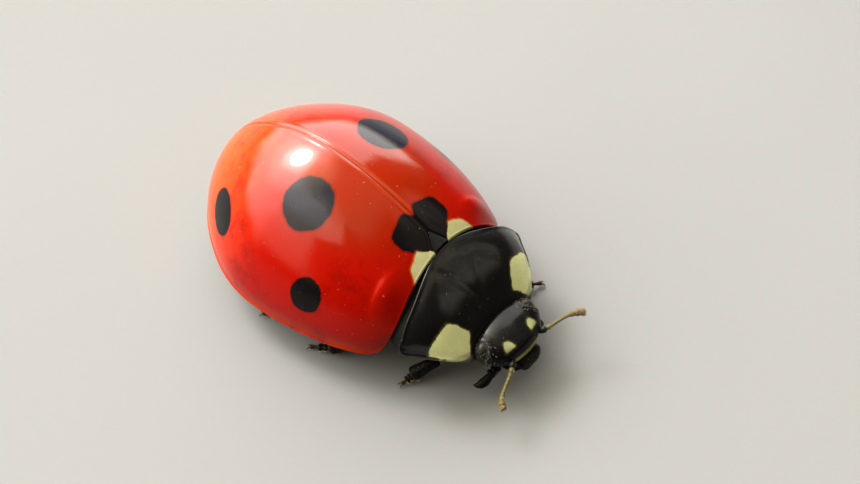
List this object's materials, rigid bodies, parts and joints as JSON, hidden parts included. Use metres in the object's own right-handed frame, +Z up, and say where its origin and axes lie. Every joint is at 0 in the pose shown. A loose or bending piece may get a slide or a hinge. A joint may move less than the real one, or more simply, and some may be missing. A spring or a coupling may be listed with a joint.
{
  "type": "seven-spot ladybird",
  "caption": "Life-size still model of a ladybird standing on its feet: glossy domed red wing cases with black spots, black shield and head with cream marks, short brown feelers.",
  "frame": {"origin": "on the floor under the middle of the beetle's box, between its feet", "axes": "+Z up, head towards -Y, tail towards +Y, +X is the beetle's left"},
  "size_m": [0.005, 0.0084, 0.0034],
  "materials": {
    "wing_case_red": "gloss",
    "shield_black": "gloss",
    "body_black": "satin",
    "eye_black": "gloss",
    "leg_black": "satin",
    "feeler_brown": "satin",
    "pale_hair": "matte"
  },
  "bodies": {
    "root": {"abdomen": "body_black", "antenna_left": "feeler_brown", "antenna_right": "feeler_brown", "elytron_left": "wing_case_red", "elytron_right": "wing_case_red", "eye_left": "eye_black", "eye_right": "eye_black", "head": "shield_black", "labrum": "shield_black", "leg_front_left_femur": "leg_black", "leg_front_left_foot": "leg_black", "leg_front_left_tibia": "leg_black", "leg_front_right_femur": "leg_black", "leg_front_right_foot": "leg_black", "leg_front_right_tibia": "leg_black", "leg_hind_left_femur": "leg_black", "leg_hind_left_foot": "leg_black", "leg_hind_left_tibia": "leg_black", "leg_hind_right_femur": "leg_black", "leg_hind_right_foot": "leg_black", "leg_hind_right_tibia": "leg_black", "leg_middle_left_femur": "leg_black", "leg_middle_left_foot": "leg_black", "leg_middle_left_tibia": "leg_black", "leg_middle_right_femur": "leg_black", "leg_middle_right_foot": "leg_black", "leg_middle_right_tibia": "leg_black", "mandible_left": "body_black", "mandible_right": "body_black", "palp_left": "leg_black", "palp_right": "leg_black", "pronotum": "shield_black", "prosternum": "body_black", "scutellum": "shield_black", "thorax": "body_black"}
  },
  "joints": []
}
